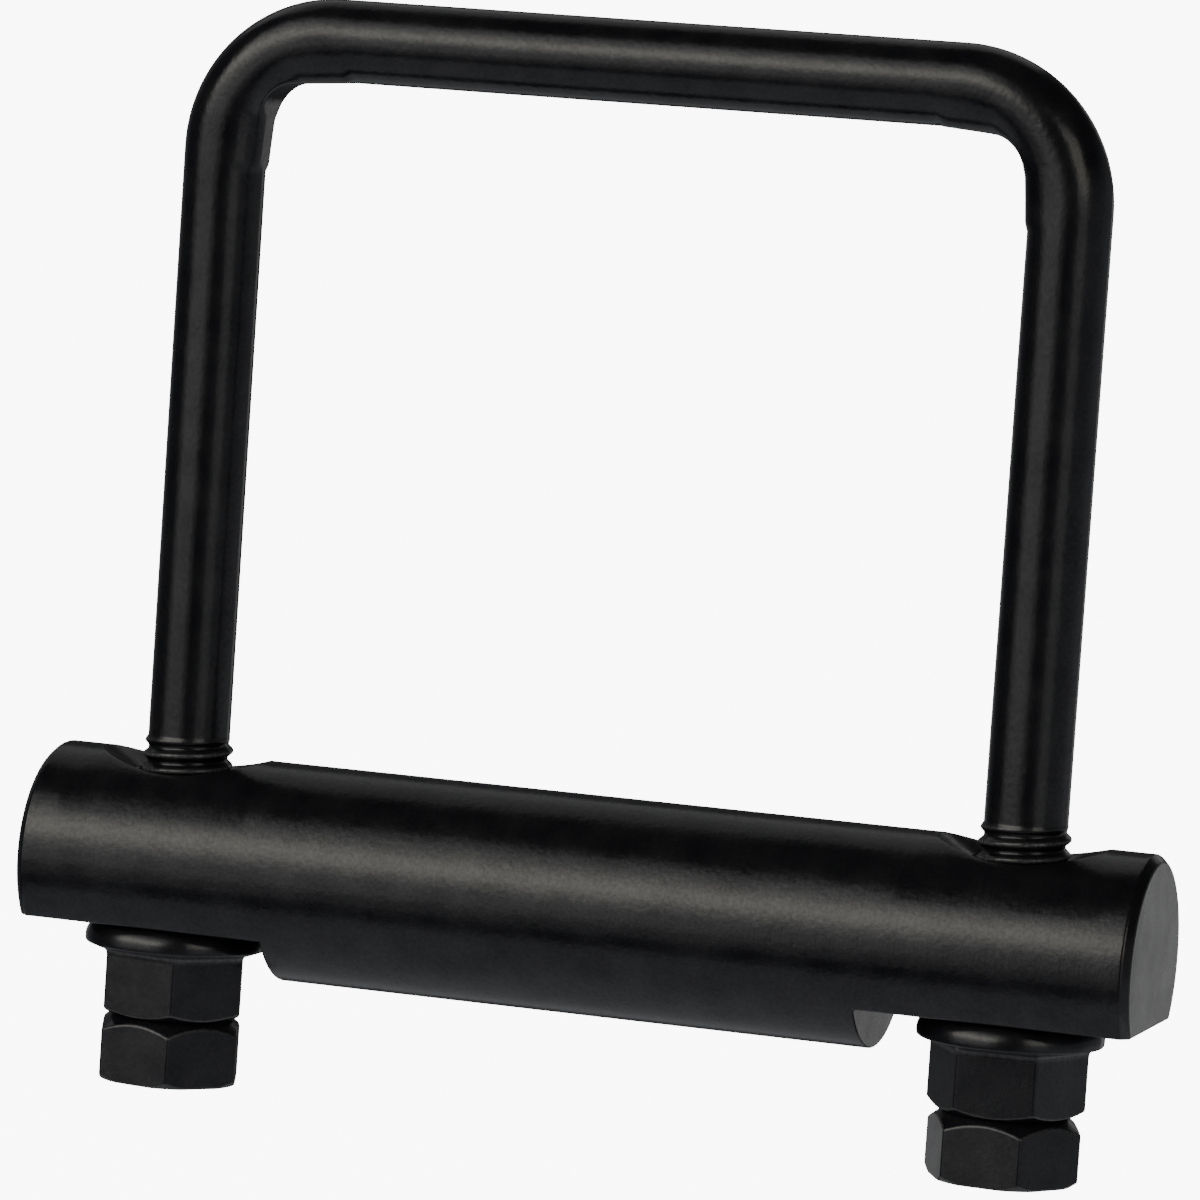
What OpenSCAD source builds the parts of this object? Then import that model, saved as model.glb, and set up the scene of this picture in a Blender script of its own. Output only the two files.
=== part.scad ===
// A square-bend U-bolt clamp: a bent rod, a round crossbar that the rod's two
// legs pass through, and on each leg a flange nut with a plain nut locked under it.
// Millimetres. X runs along the crossbar, Z runs up the legs, and the lock nuts'
// undersides are at Z = 0, centred between the legs.

/* [U-bolt] */
// Distance between the centres of the two legs
leg_spacing = 88.9; // [60:0.1:140]
// Height from the crossbar's axis to the axis of the bolt's top
window_rise = 85.1; // [50:0.1:160]
// Diameter of the plain rod
rod_d = 8.4; // [6:0.1:16]
// Radius of each bend, to the rod's centre line
bend_r = 11.7; // [9:0.1:30]
// Radius pressed into the inside of each bend
corner_r = 2.8; // [1:0.1:8]
// How far the pressed flats of a bend stand inside the rod's inner line
corner_step = 0.45; // [0.1:0.05:1.5]

/* [Thread] */
// Diameter over the thread's crests
thread_d = 9.3; // [6:0.1:17]
// Distance from one thread crest to the next
thread_pitch = 1.5875; // [1:0.0005:2.5]
// Height of the thread's upper end above the crossbar's top
thread_above = 2; // [0.5:0.1:10]
// Height of the rod's end inside the lock nut
tip_inset = 0.4; // [0:0.1:3]

/* [Crossbar] */
// Diameter of the crossbar
bar_d = 22.3; // [16:0.1:40]
// Length of the crossbar
bar_length = 117; // [90:0.5:200]
// Diameter of the holes that the legs pass through
hole_d = 10.6; // [7:0.1:20]
// Diameter of the shallow cone round each hole, along the bar's top
recess_d = 17.5; // [11:0.1:30]
// Half the cone's included angle, in degrees
recess_angle = 59; // [45:0.5:80]
// Distance from the bar's axis down to its two flats
flat_drop = 6.2; // [3:0.1:12]
// Distance from the bar's middle to where the left flat begins
left_flat_start = 32; // [15:0.1:55]
// Distance from the bar's middle to where the right flat begins
right_flat_start = 30.6; // [15:0.1:55]
// Bevel on the edge of each end face
bar_chamfer = 0.8; // [0.2:0.1:3]

/* [Nuts] */
// Width of each nut across its flats
nut_af = 13.95; // [10:0.1:26]
// Diameter of the nuts' bores, a little over the thread
nut_bore = 9.4; // [6.1:0.05:17.2]
// Height of the flange nut, flange included
flange_nut_h = 9.7; // [5:0.1:16]
// Diameter of the flange
flange_d = 18.8; // [14:0.1:36]
// Thickness of the flange at its edge
flange_thick = 2.4; // [1:0.05:4]
// Radius of the flange's rounded edge, seen in section
flange_round = 2.1; // [1:0.05:3]
// Depth of the flange's widest line below its bearing face
flange_bulge = 2.0; // [0.8:0.05:2.9]
// Height over which the flange's underside slopes in to the hexagon
flange_collar = 0.9; // [0.3:0.1:3]
// Height of the lock nut
lock_nut_h = 6.9; // [4:0.1:16]
// Turn of the left flange nut about its leg, in degrees
left_flange_turn = -70; // [-90:0.5:90]
// Turn of the right flange nut, in degrees
right_flange_turn = -55.5; // [-90:0.5:90]
// Turn of the left lock nut, in degrees
left_lock_turn = -71; // [-90:0.5:90]
// Turn of the right lock nut, in degrees
right_lock_turn = -63.5; // [-90:0.5:90]

/* [Hidden] */
$fn = 96;
bore_cone = 0.6;
eps = 0.01;
flat_z = lock_nut_h + flange_nut_h;
bar_z = flat_z + flat_drop;
bar_r = bar_d / 2;
bar_top = bar_z + bar_r;
top_z = bar_z + window_rise;
leg_x = leg_spacing / 2;
rod_r = rod_d / 2;
thread_r = thread_d / 2;
thread_depth = 0.6 * thread_pitch;
root_r = thread_r - thread_depth;
flank = thread_depth * tan(30);
crest = thread_pitch / 8;
thread_top = bar_top + thread_above;
runout = 1.2;
tip_h = 1.2;
thread_z0 = tip_inset + tip_h;
turns = floor((thread_top - thread_z0 - runout) / thread_pitch);
nut_corner_r = nut_af / 2 / cos(30);
bevel_r = 6.75;
top_bevel_r = 6.1;

// One threaded leg, from its bevelled tip up to the start of the bend. The
// thread is a stack of rings here, one for each pitch.
module leg() {
  rotate_extrude()
    polygon(concat(
      [[0, tip_inset], [root_r, tip_inset], [thread_r, thread_z0]],
      [for (i = [0 : turns - 1]) each [
        [thread_r, thread_z0 + i * thread_pitch + crest],
        [root_r, thread_z0 + i * thread_pitch + crest + flank],
        [root_r, thread_z0 + (i + 1) * thread_pitch - flank],
        [thread_r, thread_z0 + (i + 1) * thread_pitch]]],
      [[thread_r, thread_top - runout], [rod_r, thread_top],
       [rod_r, top_z - bend_r], [0, top_z - bend_r]]));
}

// What a forming tool takes off the inside of a bend: a square corner with a
// small radius, in the bend's own plane. The corner is at the origin and the
// tool fills the space towards -X and -Z.
module corner_tool() {
  size = 30;
  difference() {
    translate([-size, -size / 2, -size]) cube([size, size, size]);
    difference() {
      translate([-corner_r, -size, -corner_r])
        cube([corner_r + 1, 2 * size, corner_r + 1]);
      translate([-corner_r, 0, -corner_r])
        rotate([90, 0, 0]) cylinder(r = corner_r, h = 3 * size, center = true);
    }
  }
}

// The bend on the +X side, from the leg round to the top.
module bend() {
  difference() {
    translate([leg_x - bend_r, 0, top_z - bend_r])
      rotate([90, 0, 0])
        rotate_extrude(angle = 90) translate([bend_r, 0]) circle(r = rod_r);
    translate([leg_x - rod_r - corner_step, 0, top_z - rod_r - corner_step])
      corner_tool();
  }
}

// The rod bent into a square U, standing on its two threaded legs.
module u_bolt() {
  color([0.05, 0.05, 0.055])
    union() {
      for (side = [0, 1]) mirror([side, 0, 0]) {
        translate([leg_x, 0, 0]) leg();
        bend();
      }
      translate([-(leg_x - bend_r), 0, top_z]) rotate([0, 90, 0])
        cylinder(r = rod_r, h = 2 * (leg_x - bend_r));
    }
}

// The round bar across the legs: a hole for each leg with a shallow cone round
// its top, and a flat under each end for the flange nut.
module crossbar() {
  cone_h = (recess_d - hole_d) / 2 / tan(recess_angle);
  over = 1;
  color([0.06, 0.06, 0.065])
    difference() {
      translate([0, 0, bar_z]) rotate([0, 90, 0]) rotate_extrude()
        polygon([[0, -bar_length / 2],
                 [bar_r - bar_chamfer, -bar_length / 2],
                 [bar_r, -bar_length / 2 + bar_chamfer],
                 [bar_r, bar_length / 2 - bar_chamfer],
                 [bar_r - bar_chamfer, bar_length / 2],
                 [0, bar_length / 2]]);
      for (side = [-1, 1]) {
        translate([side * leg_x, 0, flat_z - 1]) cylinder(d = hole_d, h = bar_d);
        translate([side * leg_x, 0, bar_top - cone_h])
          cylinder(r1 = hole_d / 2, r2 = recess_d / 2 + over * tan(recess_angle),
                   h = cone_h + over);
      }
      translate([right_flat_start, -bar_r - 1, bar_z - bar_r - 1])
        cube([bar_length, bar_d + 2, bar_r + 1 - flat_drop]);
      translate([-left_flat_start - bar_length, -bar_r - 1, bar_z - bar_r - 1])
        cube([bar_length, bar_d + 2, bar_r + 1 - flat_drop]);
    }
}

// A hexagon prism from Z = 0 to h. Its corners are bevelled at the lower end
// from the radius low_r, and at the upper end from high_r at a steeper slope.
module hexagon(h, low_r, high_r) {
  out_r = nut_corner_r + 0.2;
  intersection() {
    cylinder(r = nut_corner_r, h = h, $fn = 6);
    rotate_extrude()
      polygon([[0, 0], [low_r, 0], [out_r, (out_r - low_r) * tan(30)],
               [out_r, h - (out_r - high_r) * tan(38)], [high_r, h], [0, h]]);
  }
}

// A nut's bore, with a small cone at each mouth.
module bore(h) {
  translate([0, 0, -1]) cylinder(d = nut_bore, h = h + 2);
  translate([0, 0, -eps])
    cylinder(d1 = nut_bore + 2 * bore_cone, d2 = nut_bore, h = bore_cone);
  translate([0, 0, h - bore_cone + eps])
    cylinder(d1 = nut_bore, d2 = nut_bore + 2 * bore_cone, h = bore_cone);
}

// A hexagon nut whose round flange bears up against the bar's flat. The
// flange's edge is rounded in section and its underside slopes in to the hexagon.
module flange_nut() {
  under_z = flange_nut_h - flange_thick;
  mid_r = flange_d / 2 - flange_round;
  bulge_z = flange_nut_h - flange_bulge;
  top_turn = asin(flange_bulge / flange_round);
  low_turn = asin((flange_bulge - flange_thick) / flange_round);
  edge = [for (i = [0:6]) let (t = low_turn + (top_turn - low_turn) * i / 6)
          [mid_r + flange_round * cos(t), bulge_z + flange_round * sin(t)]];
  difference() {
    union() {
      hexagon(under_z - 0.2, bevel_r, nut_corner_r + 0.2);
      rotate_extrude()
        polygon(concat([[0, flange_nut_h], [0, under_z - flange_collar],
                        [nut_af / 2 - 0.1, under_z - flange_collar],
                        [nut_corner_r, under_z - flange_collar / 2],
                        [flange_d / 2 - 0.4, under_z - flange_collar / 4]], edge));
    }
    bore(flange_nut_h);
  }
}

// A plain hexagon nut, its upper corners well bevelled.
module lock_nut() {
  difference() {
    hexagon(lock_nut_h, nut_corner_r - 0.6, top_bevel_r);
    bore(lock_nut_h);
  }
}

module flange_nut_left() {
  color([0.05, 0.05, 0.055])
    translate([-leg_x, 0, lock_nut_h]) rotate([0, 0, left_flange_turn]) flange_nut();
}

module flange_nut_right() {
  color([0.05, 0.05, 0.055])
    translate([leg_x, 0, lock_nut_h]) rotate([0, 0, right_flange_turn]) flange_nut();
}

module lock_nut_left() {
  color([0.05, 0.05, 0.055])
    translate([-leg_x, 0, 0]) rotate([0, 0, left_lock_turn]) lock_nut();
}

module lock_nut_right() {
  color([0.05, 0.05, 0.055])
    translate([leg_x, 0, 0]) rotate([0, 0, right_lock_turn]) lock_nut();
}

u_bolt();
crossbar();
flange_nut_left();
flange_nut_right();
lock_nut_left();
lock_nut_right();
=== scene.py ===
import math

import bmesh
import bpy
import numpy as np
from mathutils import Matrix, Vector


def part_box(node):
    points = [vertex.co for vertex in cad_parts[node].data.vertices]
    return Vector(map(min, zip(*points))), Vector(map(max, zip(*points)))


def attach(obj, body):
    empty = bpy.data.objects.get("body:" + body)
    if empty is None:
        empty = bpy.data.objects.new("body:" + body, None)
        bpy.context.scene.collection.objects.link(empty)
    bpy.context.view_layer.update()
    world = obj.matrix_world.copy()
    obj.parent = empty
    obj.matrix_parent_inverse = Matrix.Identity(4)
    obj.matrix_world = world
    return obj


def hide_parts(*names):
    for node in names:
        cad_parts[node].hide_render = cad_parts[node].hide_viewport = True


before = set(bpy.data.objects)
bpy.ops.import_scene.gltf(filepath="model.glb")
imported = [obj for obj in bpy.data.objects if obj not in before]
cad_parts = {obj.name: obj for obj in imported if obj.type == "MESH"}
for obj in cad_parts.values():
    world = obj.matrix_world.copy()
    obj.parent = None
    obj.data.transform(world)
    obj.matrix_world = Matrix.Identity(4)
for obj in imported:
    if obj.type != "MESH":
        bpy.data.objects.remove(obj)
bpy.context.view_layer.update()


# ---------------------------------------------------------------- the rod
# A round steel rod, its two ends rolled with a coarse right-hand thread and
# then bent into a square U. The press has squeezed the inside of each bend
# flat, and the whole is dipped in a thin satin black coat.

rod_low, rod_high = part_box("u_bolt")
rod_radius = 0.0042
rod_top = rod_high[2] - rod_radius
rod_tip = rod_low[2]
crest_radius = (rod_high[1] - rod_low[1]) / 2
leg_x = rod_high[0] - crest_radius
bend_radius = 0.0117
bar_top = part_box("crossbar")[1][2]
thread_top = bar_top + 0.0020
thread_pitch = 0.0015875


def black_coat(name, grain, tint=1.0, relief=1.0):
    """Thin black coat on steel: near black, satin, faintly mottled, with a fine orange
    peel. Where the edge attribute is high the colour is paler: partly scuffing, partly a
    painted highlight."""
    mat = bpy.data.materials.new(name)
    mat.use_nodes = True
    nodes, links = mat.node_tree.nodes, mat.node_tree.links
    nodes.clear()
    out = nodes.new("ShaderNodeOutputMaterial")
    skin = nodes.new("ShaderNodeBsdfPrincipled")
    skin.inputs["IOR"].default_value = 1.30
    skin.inputs["Metallic"].default_value = 0.0
    links.new(skin.outputs[0], out.inputs[0])
    place = nodes.new("ShaderNodeTexCoord")

    def noise(scale, detail, stretch=(1, 1, 1)):
        turn = nodes.new("ShaderNodeMapping")
        turn.inputs["Scale"].default_value = stretch
        tex = nodes.new("ShaderNodeTexNoise")
        tex.inputs["Scale"].default_value = scale
        tex.inputs["Detail"].default_value = detail
        links.new(place.outputs["Object"], turn.inputs["Vector"])
        links.new(turn.outputs[0], tex.inputs["Vector"])
        return tex.outputs["Fac"]

    def ramp(value, low, high, to_low, to_high):
        span = nodes.new("ShaderNodeMapRange")
        for socket, number in zip(("From Min", "From Max", "To Min", "To Max"),
                                  (low, high, to_low, to_high)):
            span.inputs[socket].default_value = number
        links.new(value, span.inputs["Value"])
        return span.outputs[0]

    def colour_mix(factor, a, b):
        mix = nodes.new("ShaderNodeMix")
        mix.data_type = "RGBA"
        links.new(factor, mix.inputs["Factor"])
        for socket, value in ((6, a), (7, b)):
            if isinstance(value, tuple):
                mix.inputs[socket].default_value = value
            else:
                links.new(value, mix.inputs[socket])
        return mix.outputs[2]

    mottle = noise(260, 4)
    speck = noise(2600, 2)
    drawn = noise(700, 3, grain)
    edge = nodes.new("ShaderNodeAttribute")
    edge.attribute_name = "edge"
    dark = tuple(v * tint for v in (0.0026, 0.0027, 0.0035)) + (1,)
    pale = tuple(v * tint for v in (0.0048, 0.0049, 0.0058)) + (1,)
    # paler colour on edges and thread crests: part scuffing, part a painted highlight
    wear_and_highlight_colour = (0.045, 0.045, 0.045, 1)
    ground = colour_mix(ramp(mottle, 0.3, 0.7, 0, 1), dark, pale)
    wear_and_highlight_mask = nodes.new("ShaderNodeMath")
    wear_and_highlight_mask.operation = "MULTIPLY"
    links.new(edge.outputs["Fac"], wear_and_highlight_mask.inputs[0])
    links.new(ramp(speck, 0.3, 0.7, 0.35, 1.0), wear_and_highlight_mask.inputs[1])
    links.new(colour_mix(wear_and_highlight_mask.outputs[0], ground, wear_and_highlight_colour), skin.inputs["Base Color"])

    dull = nodes.new("ShaderNodeMath")
    dull.operation = "ADD"
    links.new(ramp(mottle, 0.3, 0.7, 0.175, 0.245), dull.inputs[0])
    links.new(ramp(drawn, 0.25, 0.75, -0.02, 0.03), dull.inputs[1])
    links.new(dull.outputs[0], skin.inputs["Roughness"])

    shine = nodes.new("ShaderNodeMath")
    shine.operation = "ADD"
    links.new(ramp(mottle, 0.3, 0.7, 0.42, 0.54), shine.inputs[0])
    links.new(ramp(speck, 0.3, 0.7, -0.03, 0.13), shine.inputs[1])
    links.new(shine.outputs[0], skin.inputs["Specular IOR Level"])

    peel = nodes.new("ShaderNodeBump")
    peel.inputs["Strength"].default_value = 0.42 * relief
    peel.inputs["Distance"].default_value = 0.00006
    links.new(noise(1400, 3), peel.inputs["Height"])
    fine = nodes.new("ShaderNodeBump")
    fine.inputs["Strength"].default_value = 0.28 * relief
    fine.inputs["Distance"].default_value = 0.00005
    links.new(drawn, fine.inputs["Height"])
    links.new(peel.outputs[0], fine.inputs["Normal"])
    links.new(fine.outputs[0], skin.inputs["Normal"])
    return mat


def mesh_object(name, verts, faces, mat):
    """A new object from points and faces, smooth, with its normals outward."""
    mesh = bpy.data.meshes.new(name)
    mesh.from_pydata([tuple(v) for v in verts], [], [tuple(f) for f in faces])
    work = bmesh.new()
    work.from_mesh(mesh)
    bmesh.ops.recalc_face_normals(work, faces=work.faces)
    work.to_mesh(mesh)
    work.free()
    mesh.shade_smooth()
    mesh.materials.append(mat)
    obj = bpy.data.objects.new(name, mesh)
    bpy.context.scene.collection.objects.link(obj)
    return obj


def finished(obj):
    """The object as its modifiers make it, as plain mesh, the modifiers gone."""
    graph = bpy.context.evaluated_depsgraph_get()
    made = bpy.data.meshes.new_from_object(obj.evaluated_get(graph), depsgraph=graph)
    obj.modifiers.clear()
    obj.data = made
    return obj


def even_normals(obj):
    """Wide faces keep their own direction and narrow rounded edges blend."""
    mod = obj.modifiers.new("even", "WEIGHTED_NORMAL")
    mod.mode = "FACE_AREA"
    mod.weight = 80
    mod.keep_sharp = True


# The inside of a bend as the press leaves it, in the bend's own plane: a and b
# run into the window from the leg's and the top's inner lines.
kink = 0.0096
swell = 0.00050
corner_fillet = 0.0028
press_fade = 0.0008
near_bend = 0.004


def outside_press(a, b):
    da = a - swell * max(kink - b, 0) / (kink - corner_fillet)
    db = b - swell * max(kink - a, 0) / (kink - corner_fillet)
    if da < corner_fillet and db < corner_fillet:
        return corner_fillet - math.hypot(corner_fillet - da, corner_fillet - db)
    return min(da, db)


def press_reach(a, b, na, nb):
    """How far the rod's inner side reaches from its centre line at (a, b)."""
    low, high = 0.0, 0.012
    for _ in range(40):
        mid = (low + high) / 2
        if outside_press(a + na * mid, b + nb * mid) < 0:
            low = mid
        else:
            high = mid
    return low


def half_rod():
    """Rings from the left tip to the middle of the top: centre, inward
    direction, reach of the inner side and how far the press has acted."""
    rings = []
    step = thread_pitch / 16
    straight = rod_top - bend_radius
    heights = list(np.arange(rod_tip, thread_top, step))
    heights += list(np.linspace(thread_top, straight - near_bend, 12))
    heights += list(np.linspace(straight - near_bend, straight, 14)[1:])
    arc = np.linspace(0, math.pi / 2, 49)[1:]
    across = list(np.linspace(0, near_bend, 14)[1:])
    across += list(np.linspace(near_bend, leg_x - bend_radius, 12)[1:])
    inner_z = rod_top - rod_radius
    for z in heights:
        b = inner_z - z
        reach = press_reach(-rod_radius, b, 1, 0) if b < kink + 0.001 else rod_radius
        rings.append((-leg_x, z, 1, 0, reach, min(max((kink - b) / press_fade, 0), 1)))
    centre = bend_radius - rod_radius
    for t in arc:
        c, s = math.cos(t), math.sin(t)
        reach = press_reach(centre - bend_radius * c, centre - bend_radius * s, c, s)
        rings.append((-leg_x + bend_radius - bend_radius * c,
                      straight + bend_radius * s, c, -s, reach, 1))
    for d in across:
        a = centre + d
        reach = press_reach(a, -rod_radius, 0, 1) if a < kink + 0.001 else rod_radius
        rings.append((-leg_x + bend_radius + d, rod_top, 0, -1, reach,
                      min(max((kink - a) / press_fade, 0), 1)))
    return rings


left = half_rod()
right = [(-x, z, -nx, nz, reach, act) for x, z, nx, nz, reach, act in left[-2::-1]]
round_steps = 80
spread, soft = 0.00030, 0.00016
verts, faces = [], []
for x, z, nx, nz, reach, act in left + right:
    for k in range(round_steps):
        turn = 2 * math.pi * k / round_steps
        u, v = rod_radius * math.cos(turn), rod_radius * math.sin(turn)
        if act > 0 and u > 0:
            u *= max(1, (reach + spread * act) / rod_radius)
            gap = max(soft - abs(u - reach), 0) / soft
            u = min(u, reach) - gap * gap * soft / 4
        verts.append((x + nx * u, v, z + nz * u))
count = len(left + right)
for r in range(count - 1):
    for k in range(round_steps):
        n = (k + 1) % round_steps
        faces.append((r * round_steps + k, r * round_steps + n,
                      (r + 1) * round_steps + n, (r + 1) * round_steps + k))
faces.append(range(round_steps))
faces.append(range((count - 1) * round_steps, count * round_steps))
rod_coat = black_coat("black coat on drawn rod", (1, 1, 0.12))
rod = mesh_object("threaded_u_rod", verts, faces, rod_coat)

# The rolled thread: a right-hand helix round each leg that fades into the
# plain rod at its upper end and is bevelled at the tip.
tree = bpy.data.node_groups.new("rolled thread", "GeometryNodeTree")
tree.interface.new_socket("Geometry", in_out="INPUT", socket_type="NodeSocketGeometry")
thread_sizes = {
    "Leg distance": leg_x,
    "Plain radius": rod_radius,
    "Crest radius": crest_radius,
    "Root radius": crest_radius - 0.00054,
    "Pitch": thread_pitch,
    "Top height": thread_top,
    "Run-out": 0.0013,
    "Tip height": rod_tip,
    "Tip bevel": 0.0012,
    "Phase": 0.0,
}
for label in thread_sizes:
    tree.interface.new_socket(label, in_out="INPUT", socket_type="NodeSocketFloat")
tree.interface.new_socket("Material", in_out="INPUT", socket_type="NodeSocketMaterial")
tree.interface.new_socket("Geometry", in_out="OUTPUT", socket_type="NodeSocketGeometry")
gn, wire = tree.nodes, tree.links
given = gn.new("NodeGroupInput").outputs


def calc(operation, *values, clamp=False):
    node = gn.new("ShaderNodeMath")
    node.operation = operation
    node.use_clamp = clamp
    for socket, value in zip(node.inputs, values):
        if isinstance(value, (int, float)):
            socket.default_value = value
        else:
            wire.new(value, socket)
    return node.outputs[0]


def smooth(value):
    """Smoothstep of a value between 0 and 1."""
    return calc("MULTIPLY", calc("MULTIPLY", value, value),
                calc("MULTIPLY_ADD", value, -2.0, 3.0))


# root_share of each half pitch is the root, flank_share the flank, and the
# rest the crest; roundness blends the straight flank into a curved one
root_share, flank_share, roundness = 0.18, 0.70, 0.45
split = gn.new("ShaderNodeSeparateXYZ")
wire.new(gn.new("GeometryNodeInputPosition").outputs[0], split.inputs[0])
px, py, pz = split.outputs
axis_x = calc("MULTIPLY", calc("SIGN", px), given["Leg distance"])
off_x = calc("SUBTRACT", px, axis_x)
turn = calc("DIVIDE", calc("ARCTAN2", py, off_x), 2 * math.pi)
along = calc("DIVIDE", calc("SUBTRACT", given["Top height"], pz), given["Pitch"])
wave = calc("FRACT", calc("ADD", calc("ADD", along, turn), given["Phase"]))
wave = calc("ABSOLUTE", calc("MULTIPLY_ADD", wave, 2.0, -1.0))
rise = calc("DIVIDE", calc("SUBTRACT", wave, root_share), flank_share, clamp=True)
flank = calc("ADD", calc("MULTIPLY", smooth(rise), roundness),
             calc("MULTIPLY", rise, 1 - roundness))
depth = calc("SUBTRACT", given["Crest radius"], given["Root radius"])
cut = calc("MULTIPLY_ADD", flank, depth, given["Root radius"])
fade = smooth(calc("DIVIDE", calc("SUBTRACT", given["Top height"], pz),
                   given["Run-out"], clamp=True))
radius = calc("ADD", calc("MULTIPLY", cut, fade),
              calc("MULTIPLY", given["Plain radius"], calc("SUBTRACT", 1.0, fade)))
bevel = calc("MULTIPLY_ADD", calc("DIVIDE", calc("SUBTRACT", pz, given["Tip height"]),
                                  given["Tip bevel"]), depth, given["Root radius"])
radius = calc("MINIMUM", radius, bevel)
grow = calc("DIVIDE", radius, given["Plain radius"])
moved = gn.new("ShaderNodeCombineXYZ")
wire.new(calc("MULTIPLY_ADD", off_x, grow, axis_x), moved.inputs[0])
wire.new(calc("MULTIPLY", py, grow), moved.inputs[1])
wire.new(pz, moved.inputs[2])
shift = gn.new("GeometryNodeSetPosition")
wire.new(given["Geometry"], shift.inputs["Geometry"])
wire.new(calc("LESS_THAN", pz, given["Top height"]), shift.inputs["Selection"])
wire.new(moved.outputs[0], shift.inputs["Position"])
mark = gn.new("GeometryNodeStoreNamedAttribute")
mark.data_type = "FLOAT"
mark.domain = "POINT"
mark.inputs["Name"].default_value = "edge"
# The crests get the paler edge colour: part scuffing, part a painted highlight.
crest_wear_and_highlight = calc("MULTIPLY", calc("POWER", flank, 6.0), fade)
wire.new(shift.outputs[0], mark.inputs["Geometry"])
wire.new(crest_wear_and_highlight, mark.inputs["Value"])
whole = gn.new("GeometryNodeRealizeInstances")
wire.new(mark.outputs[0], whole.inputs[0])
coat = gn.new("GeometryNodeSetMaterial")
wire.new(whole.outputs[0], coat.inputs["Geometry"])
wire.new(given["Material"], coat.inputs["Material"])
wire.new(coat.outputs[0], gn.new("NodeGroupOutput").inputs[0])

rolled = rod.modifiers.new("rolled thread", "NODES")
rolled.node_group = tree
for item in tree.interface.items_tree:
    if item.in_out == "INPUT" and item.name in thread_sizes:
        rolled[item.identifier] = thread_sizes[item.name]
    if item.in_out == "INPUT" and item.name == "Material":
        rolled[item.identifier] = rod_coat
even_normals(rod)
finished(rod)
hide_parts("u_bolt")
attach(rod, "u_bolt")


# ---------------------------------------------------------- the crossbar
# Round steel bar, sawn off and bevelled. A drill has gone down through it at
# each leg and a countersink has opened the top of the hole. A cutter has
# milled a flat under each end, where the flange nut bears.

bar_low, bar_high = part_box("crossbar")
bar_radius = (bar_high[1] - bar_low[1]) / 2
bar_z = bar_high[2] - bar_radius
half_bar = bar_high[0]
flat_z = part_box("flange_nut_left")[1][2]
end_bevel = 0.0008
hole_radius = 0.0053
cone_radius = 0.00875
cone_slope = math.tan(math.radians(59))
cone_floor = bar_high[2] - (cone_radius - hole_radius) / cone_slope
patch = 0.0097
flat_starts = {-1: 0.0320, 1: 0.0306}
side_steps = 24
flat_turn = math.acos((flat_z - bar_z) / bar_radius)
patch_turn = math.asin(patch / bar_radius)

bar_mesh = bmesh.new()
points = {}


def corner(x, y, z):
    """One vertex for each place, however many faces ask for it."""
    key = (round(x * 1e7), round(y * 1e7), round(z * 1e7))
    if key not in points:
        points[key] = bar_mesh.verts.new((x, y, z))
    return points[key]


def face(*corners):
    ring = []
    for v in corners:
        if v not in ring:
            ring.append(v)
    if len(ring) > 2:
        bar_mesh.faces.new(ring)


def on_bar(x, turn, radius=bar_radius):
    return corner(x, radius * math.sin(turn), bar_z + radius * math.cos(turn))


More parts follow.
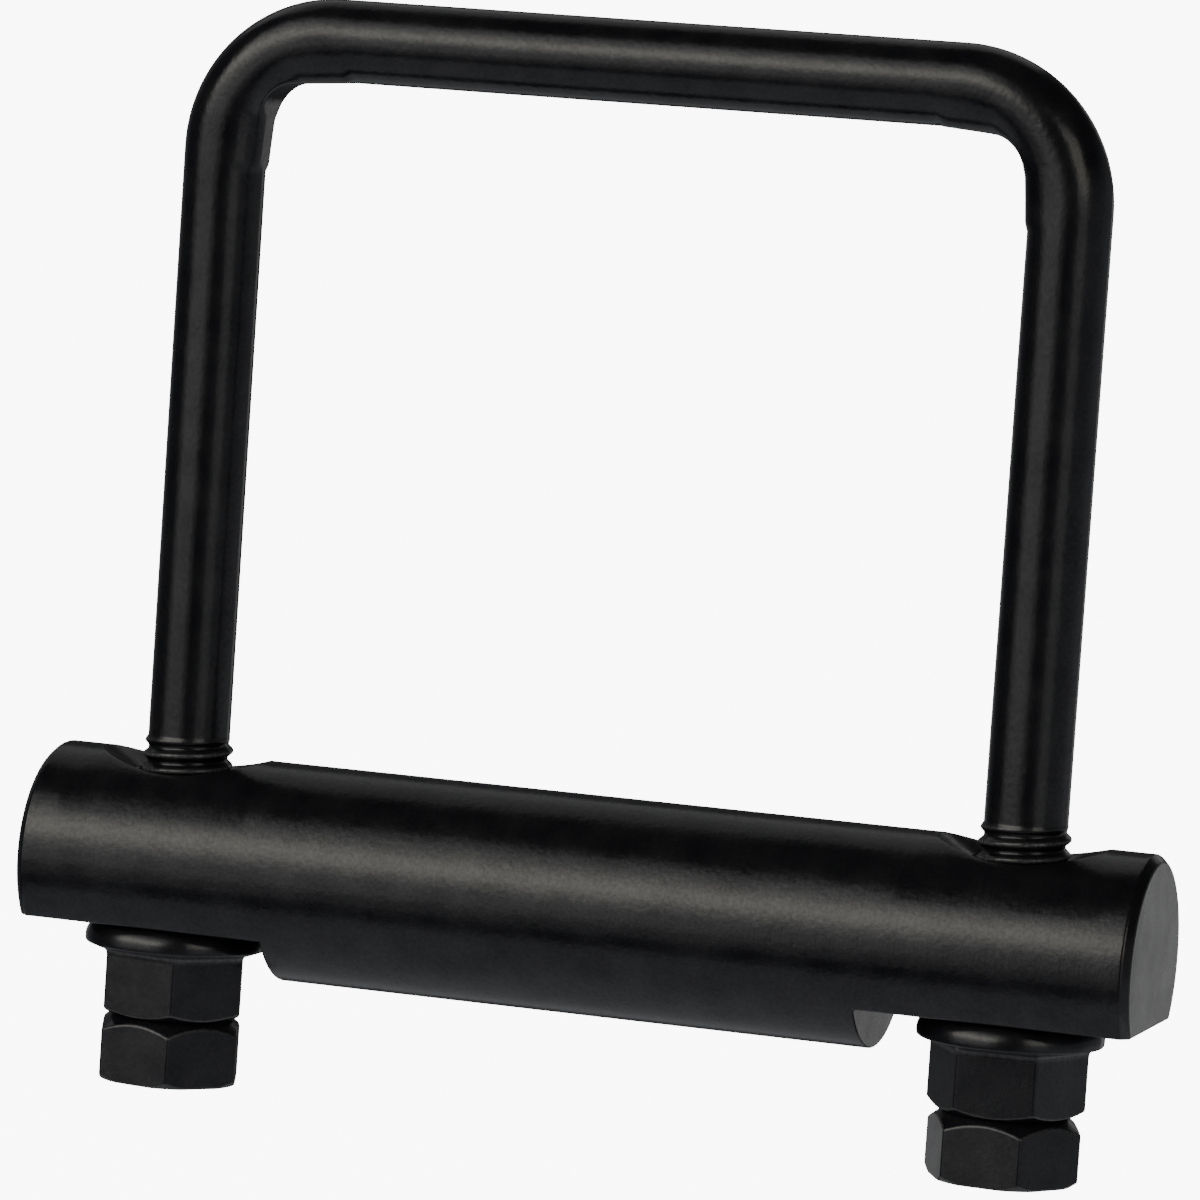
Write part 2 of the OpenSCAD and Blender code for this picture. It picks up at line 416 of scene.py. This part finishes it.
top_turns = list(np.linspace(-patch_turn, patch_turn, side_steps + 1))
side_turns = list(np.linspace(patch_turn, flat_turn, 13))
under_turns = list(np.linspace(flat_turn, 2 * math.pi - flat_turn, 21))
around = top_turns + side_turns[1:]
around = [-t for t in side_turns[:0:-1]] + around
full = around + under_turns[1:]
flat_loops = {}
for side in (-1, 1):
    hole_x = side * leg_x
    start, stop = side * flat_starts[side], side * (half_bar - end_bevel)
    inner = list(np.linspace(start, hole_x - side * patch, 5))
    middle = list(np.linspace(hole_x - side * patch, hole_x + side * patch,
                              side_steps + 1))
    outer = list(np.linspace(hole_x + side * patch, stop, 5))
    xs = inner + middle[1:] + outer[1:]
    for i in range(len(xs) - 1):
        in_patch = len(inner) - 1 <= i < len(inner) - 1 + side_steps
        for j in range(len(around) - 1):
            on_top = len(side_turns) - 1 <= j < len(side_turns) - 1 + side_steps
            if in_patch and on_top:
                continue
            face(on_bar(xs[i], around[j]), on_bar(xs[i + 1], around[j]),
                 on_bar(xs[i + 1], around[j + 1]), on_bar(xs[i], around[j + 1]))
    # the square patch round the hole: from the patch's edge in to the cone's
    # rim, down the cone, down the hole
    loop = []
    for k in range(side_steps):
        loop.append((middle[k], top_turns[0]))
    for k in range(side_steps):
        loop.append((middle[-1], top_turns[k]))
    for k in range(side_steps):
        loop.append((middle[side_steps - k], top_turns[-1]))
    for k in range(side_steps):
        loop.append((middle[0], top_turns[side_steps - k]))
    columns = []
    for x, turn in loop:
        edge_x, edge_y = x - hole_x, bar_radius * math.sin(turn)
        way = math.atan2(turn / patch_turn, edge_x / patch)
        c, s = math.cos(way), math.sin(way)
        low, high = hole_radius, cone_radius + 1e-4
        for _ in range(40):
            mid = (low + high) / 2
            on_cone = cone_floor + (mid - hole_radius) / cone_slope
            if on_cone < bar_z + math.sqrt(bar_radius ** 2 - (mid * s) ** 2):
                low = mid
            else:
                high = mid
        rim = low
        column = [corner(x, edge_y, bar_z + bar_radius * math.cos(turn))]
        for t in (0.3, 0.6, 0.85):
            qx = edge_x + (rim * c - edge_x) * t
            qy = edge_y + (rim * s - edge_y) * t
            column.append(corner(hole_x + qx, qy,
                                 bar_z + math.sqrt(bar_radius ** 2 - qy ** 2)))
        for t in (0, 0.33, 0.66, 1):
            r = rim + (hole_radius - rim) * t
            column.append(corner(hole_x + r * c, r * s,
                                 cone_floor + (r - hole_radius) / cone_slope))
        for t in (0.15, 0.5, 0.85, 1):
            column.append(corner(hole_x + hole_radius * c, hole_radius * s,
                                 cone_floor + (flat_z - cone_floor) * t))
        columns.append(column)
    for k in range(len(columns)):
        here, there = columns[k], columns[(k + 1) % len(columns)]
        for m in range(len(here) - 1):
            face(here[m], here[m + 1], there[m + 1], there[m])
    # the end bevel, then the flat end face
    small = bar_radius - end_bevel
    small_turn = math.acos((flat_z - bar_z) / small)
    end_turns = [t * small_turn / flat_turn for t in around]
    for j in range(len(around) - 1):
        face(on_bar(stop, around[j]), on_bar(side * half_bar, end_turns[j], small),
             on_bar(side * half_bar, end_turns[j + 1], small),
             on_bar(stop, around[j + 1]))
    face(*[on_bar(side * half_bar, t, small) for t in end_turns])
    # the wall where the cutter stopped, and the flat itself with its hole
    face(*[on_bar(start, t) for t in under_turns])
    border = [on_bar(x, around[0]) for x in xs]
    border += [on_bar(side * half_bar, end_turns[0], small),
               on_bar(side * half_bar, end_turns[-1], small)]
    border += [on_bar(x, around[-1]) for x in reversed(xs)]
    flat_loops[side] = (border, [c[-1] for c in columns])

mid_xs = list(np.linspace(-flat_starts[-1], flat_starts[1], 13))
for i in range(len(mid_xs) - 1):
    for j in range(len(full) - 1):
        face(on_bar(mid_xs[i], full[j]), on_bar(mid_xs[i + 1], full[j]),
             on_bar(mid_xs[i + 1], full[j + 1]), on_bar(mid_xs[i], full[j + 1]))
bar_mesh.edges.ensure_lookup_table()
for border, hole in flat_loops.values():
    rim_edges = []
    for ring in (border, hole):
        for a, b in zip(ring, ring[1:] + ring[:1]):
            found = bar_mesh.edges.get((a, b))
            rim_edges.append(found or bar_mesh.edges.new((a, b)))
    bmesh.ops.triangle_fill(bar_mesh, edges=rim_edges, use_beauty=True)
bmesh.ops.recalc_face_normals(bar_mesh, faces=bar_mesh.faces)
weights = bar_mesh.edges.layers.float.new("bevel_weight_edge")
for e in bar_mesh.edges:
    if len(e.link_faces) == 2 and e.calc_face_angle() > math.radians(18):
        e[weights] = 1.0
bar_data = bpy.data.meshes.new("crossbar_drilled")
bar_mesh.to_mesh(bar_data)
bar_mesh.free()
bar_data.shade_smooth()
bar_coat = black_coat("black coat on turned bar", (3.5, 0.1, 0.1))
bar_data.materials.append(bar_coat)
bar = bpy.data.objects.new("crossbar_drilled", bar_data)
bpy.context.scene.collection.objects.link(bar)
eased = bar.modifiers.new("eased edges", "BEVEL")
eased.limit_method = "WEIGHT"
eased.width = 0.00022
eased.segments = 3
eased.use_clamp_overlap = False
even_normals(bar)
finished(bar)
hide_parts("crossbar")
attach(bar, "crossbar")


# -------------------------------------------------------------- the nuts
# Cold-formed hexagon nuts, black coated. The upper one of each pair has a
# round flange that spreads its load on the bar's flat; the lower one is a
# plain nut jammed against it. Both are bevelled at their corners.

across_flats = 0.01395
bore_radius = 0.0047
mouth = 0.0006
air = 0.00002
corner_round = 0.00035
nut_coat = black_coat("black coat on nuts", (1, 1, 1), 1.3, 0.4)


def hexagon_reach(turn):
    """Distance from the axis to the hexagon's side, its corners rounded."""
    half = across_flats / 2
    centre = (half - corner_round) / math.cos(math.pi / 6)
    off = (turn + math.pi / 6) % (math.pi / 3) - math.pi / 6
    limit = math.atan2(corner_round / 2,
                       centre + corner_round * math.cos(math.pi / 6))
    if abs(off) < limit:
        return centre * math.cos(off) + math.sqrt(
            corner_round ** 2 - (centre * math.sin(off)) ** 2)
    return half / math.cos(math.pi / 6 - abs(off))


def flange_nut_outline(h, side):
    """The flange's edge is a wide round; its underside runs in to a small
    cove over each side of the hexagon."""
    thick, edge_round, bulge = 0.0024, 0.0021, 0.0020
    low = 0.00675
    reach = (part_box("flange_nut_left")[1][0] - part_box("flange_nut_left")[0][0]) / 2
    middle, under = reach - edge_round, h - thick
    line = [(bore_radius, mouth, 0.0001), (bore_radius, h - mouth, 0.0001),
            (bore_radius + mouth, h, 0.0001)]
    for t in np.linspace(math.asin(bulge / edge_round),
                         math.asin((bulge - thick) / edge_round), 15):
        line.append((middle + edge_round * math.cos(t),
                     h - bulge + edge_round * math.sin(t), 0))
    cove = min(side + 0.0010, 0.0087)
    line += [(reach - 0.0001, under - 0.00012, 0.0001),
             (0.0090, under - 0.00022, 0.0002), (cove, under - 0.00036, 0.0002),
             (side, under - 0.0006, 0.0007),
             (side, (side - low) * math.tan(math.radians(30)), 0.00022),
             (low, air, 0.00015), (bore_radius + mouth, air, 0.0001)]
    return line


def lock_nut_outline(h, side):
    low, high = min(side - 0.00015, 0.00715), 0.0061
    h -= air
    return [
        (bore_radius, mouth, 0.0001), (bore_radius, h - mouth, 0.0001),
        (bore_radius + mouth, h, 0.0001), (high, h, 0.00015),
        (side, h - (side - high) * math.tan(math.radians(38)), 0.00022),
        (side, max((side - low) * math.tan(math.radians(36)), 0.00010), 0.00018),
        (low, 0, 0.00012), (bore_radius + mouth, 0, 0.0001)]


def rounded(outline, steps=4):
    """The outline with a short curve at each corner instead of a point."""
    made = []
    for i, (r, z, size) in enumerate(outline):
        here = np.array((r, z))
        if size == 0:
            made.append((*here, 0))
            continue
        before = np.array(outline[i - 1][:2]) - here
        after = np.array(outline[(i + 1) % len(outline)][:2]) - here
        a = here + before * min(size / np.linalg.norm(before), 0.45)
        b = here + after * min(size / np.linalg.norm(after), 0.45)
        # the third value flags each corner curve for the paler edge colour: part
        # scuffing, part a painted highlight
        for k in range(steps + 1):
            t = k / steps
            made.append((*(a * (1 - t) ** 2 + here * 2 * t * (1 - t) + b * t ** 2),
                         float(0 < k < steps and r > bore_radius + mouth)))
    return made


def nut(name, node, outline, turned, axis_x):
    low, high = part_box(node)
    h = high[2] - low[2]
    offs = (0, 0.42, 0.84, 1.26, 3, 6, 10, 15, 20, 25, 30)
    turns = sorted({round(60 * k + sign * o, 3) % 360
                    for k in range(6) for o in offs for sign in (-1, 1)})
    verts, wear_and_highlight_marks = [], []
    for t in turns:
        side = hexagon_reach(math.radians(t))
        line = rounded(outline(h, side))
        way = math.radians(t + turned)
        for r, z, wear_and_highlight_flag in line:
            verts.append((axis_x + r * math.cos(way), r * math.sin(way), low[2] + z))
            wear_and_highlight_marks.append(0.5 * wear_and_highlight_flag)
    rows, cols = len(line), len(turns)
    faces = []
    for c in range(cols):
        n = (c + 1) % cols
        for q in range(rows):
            m = (q + 1) % rows
            faces.append((c * rows + q, n * rows + q, n * rows + m, c * rows + m))
    obj = mesh_object(name, verts, faces, nut_coat)
    # The corner curves get the paler edge colour: part scuffing, part a painted
    # highlight.
    marks = obj.data.attributes.new("edge", "FLOAT", "POINT")
    marks.data.foreach_set("value", wear_and_highlight_marks)
    even_normals(obj)
    finished(obj)
    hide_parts(node)
    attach(obj, node)
    return obj


nut("flange_nut_l", "flange_nut_left", flange_nut_outline, -70, -leg_x)
nut("flange_nut_r", "flange_nut_right", flange_nut_outline, -55.5, leg_x)
nut("lock_nut_l", "lock_nut_left", lock_nut_outline, -71, -leg_x)
nut("lock_nut_r", "lock_nut_right", lock_nut_outline, -63.5, leg_x)


# ------------------------------------------------------ floor and lights
# A wide sheet of pale paper curving up behind the clamp. It takes no part in
# reflections: the glossy coat mirrors only the soft boxes, the dim room and
# the pale ground that the world shader gives it. It lies a little below the
# tips of the legs, so a lock nut that is backed off stays above it.

floor_z = -0.0045
sweep = [(-2.5, floor_z), (1.6, floor_z)]
for t in np.linspace(0, math.pi / 2, 25)[1:]:
    sweep.append((1.6 + 1.5 * math.sin(t), floor_z + 1.5 - 1.5 * math.cos(t)))
sweep.append((3.1, 3.5))
verts, faces = [], []
for y, z in sweep:
    verts += [(-3.0, y, z), (3.0, y, z)]
for i in range(len(sweep) - 1):
    faces.append((2 * i, 2 * i + 1, 2 * i + 3, 2 * i + 2))
paper = bpy.data.materials.new("pale paper")
paper.use_nodes = True
paper_skin = paper.node_tree.nodes["Principled BSDF"]
paper_skin.inputs["Base Color"].default_value = (0.42, 0.42, 0.42, 1)
paper_skin.inputs["Roughness"].default_value = 0.9
paper_skin.inputs["Specular IOR Level"].default_value = 0.1
paper_skin.inputs["Emission Color"].default_value = (1, 1, 1, 1)
paper_skin.inputs["Emission Strength"].default_value = 9.0
floor = bpy.data.meshes.new("paper_sweep")
floor.from_pydata(verts, [], faces)
floor.shade_smooth()
floor.materials.append(paper)
floor = bpy.data.objects.new("paper_sweep", floor)
floor.visible_glossy = False
floor.visible_diffuse = False
floor.visible_shadow = False
bpy.context.scene.collection.objects.link(floor)

world = bpy.data.worlds.new("dim room over pale ground")
world.use_nodes = True
room, wires = world.node_tree.nodes, world.node_tree.links
way = room.new("ShaderNodeTexCoord")
parts = room.new("ShaderNodeSeparateXYZ")
wires.new(way.outputs["Generated"], parts.inputs[0])


def fade(value, start, stop, low, high):
    """low before start, high after stop, and smooth between."""
    span = room.new("ShaderNodeMapRange")
    span.interpolation_type = "SMOOTHSTEP"
    for socket, number in zip(("From Min", "From Max", "To Min", "To Max"),
                              (start, stop, low, high)):
        span.inputs[socket].default_value = number
    wires.new(value, span.inputs["Value"])
    return span.outputs[0]


def join(operation, a, b):
    both = room.new("ShaderNodeMath")
    both.operation = operation
    wires.new(a, both.inputs[0])
    wires.new(b, both.inputs[1])
    return both.outputs[0]


to_x, to_y, to_z = parts.outputs
ground = join("MULTIPLY", fade(to_z, -0.60, -0.50, 0.82, 0.0),
              fade(to_y, -0.1, 0.7, 1.0, 0.55))
right_wall = join("MULTIPLY", fade(to_x, 0.2, 0.9, 0.0, 0.34),
                  join("ADD", fade(to_z, -0.14, -0.07, 0.9, 0.0),
                       fade(to_z, 0.1, 0.5, 1.0, 0.0)))
left_wall = join("MULTIPLY", fade(to_x, -0.8, -0.3, 0.085, 0.0),
                 fade(to_y, 0.2, 0.6, 0.0, 1.0))
walls = join("ADD", right_wall, left_wall)
glow = room["Background"]
glow.inputs["Color"].default_value = (0.94, 0.96, 1.0, 1)
wires.new(join("ADD", join("ADD", ground, walls), fade(to_z, 0.0, 1.0, 0.06, 0.05)),
          glow.inputs["Strength"])
bpy.context.scene.world = world


def soft_box(name, azimuth, width, low, high, radiance, colour=(1, 1, 1)):
    """A flat light facing the clamp from 1.4 m, given by the angles that it
    covers. Azimuth is from -Y towards +X; low and high are elevations."""
    distance = 1.4
    a, e = math.radians(azimuth), math.radians((low + high) / 2)
    toward = Vector((math.sin(a) * math.cos(e), -math.cos(a) * math.cos(e), math.sin(e)))
    lamp = bpy.data.lights.new(name, "AREA")
    lamp.shape = "RECTANGLE"
    lamp.size = 2 * distance * math.tan(math.radians(width / 2))
    lamp.size_y = 2 * distance * math.tan(math.radians((high - low) / 2))
    lamp.energy = radiance * lamp.size * lamp.size_y * math.pi
    lamp.color = colour
    obj = bpy.data.objects.new(name, lamp)
    obj.matrix_world = (Matrix.Translation(Vector((0, 0, 0.05)) + toward * distance)
                        @ toward.to_track_quat("Z", "Y").to_matrix().to_4x4())
    bpy.context.scene.collection.objects.link(obj)


warm = (1.0, 0.955, 0.80)
for i, (width, low, high, radiance, tint) in enumerate((
        (68, -21, 57, 0.68, (0.98, 0.98, 1.0)), (48, -9, 53, 1.1, (1, 0.99, 0.96)),
        (56, 7, 46, 1.2, (1, 0.99, 0.94)), (60, 14, 38, 1.8, warm),
        (54, 19, 32, 2.0, warm))):
    soft_box("key soft box %d" % i, -32, width, low, high, radiance, tint)
soft_box("side soft box", 49, 30, -16, 40, 0.5)
soft_box("side soft box middle", 49, 20, -6, 38, 0.4)
soft_box("side soft box bright", 49, 26, 8, 34, 2.2, warm)
soft_box("low card behind", 163, 11, -18, 4, 0.6)
soft_box("card behind", 171, 16, 6, 22, 0.4)
soft_box("low card behind left", -142, 14, -18, 2, 0.27)
soft_box("back soft box", -152, 56, 30, 66, 0.45)


# ------------------------------------------------------------- the camera
camera = bpy.data.cameras.new("camera")
camera.lens = 203.87
camera.sensor_width = 36
camera.clip_start, camera.clip_end = 0.05, 20
yaw, pitch, roll = (math.radians(v) for v in (17.58, 5.091, 3.888))
ahead = Vector((-math.sin(yaw) * math.cos(pitch), math.cos(yaw) * math.cos(pitch),
                -math.sin(pitch)))
level = Vector((math.cos(yaw), math.sin(yaw), 0))
upward = level.cross(ahead)
cam_x = level * math.cos(roll) + upward * math.sin(roll)
cam_y = upward * math.cos(roll) - level * math.sin(roll)
seen = Matrix((cam_x, cam_y, -ahead)).transposed().to_4x4()
seen.translation = Vector((0.20469, -0.64993, bar_z + 0.09165))
viewer = bpy.data.objects.new("camera", camera)
viewer.matrix_world = seen
bpy.context.scene.collection.objects.link(viewer)
bpy.context.scene.camera = viewer
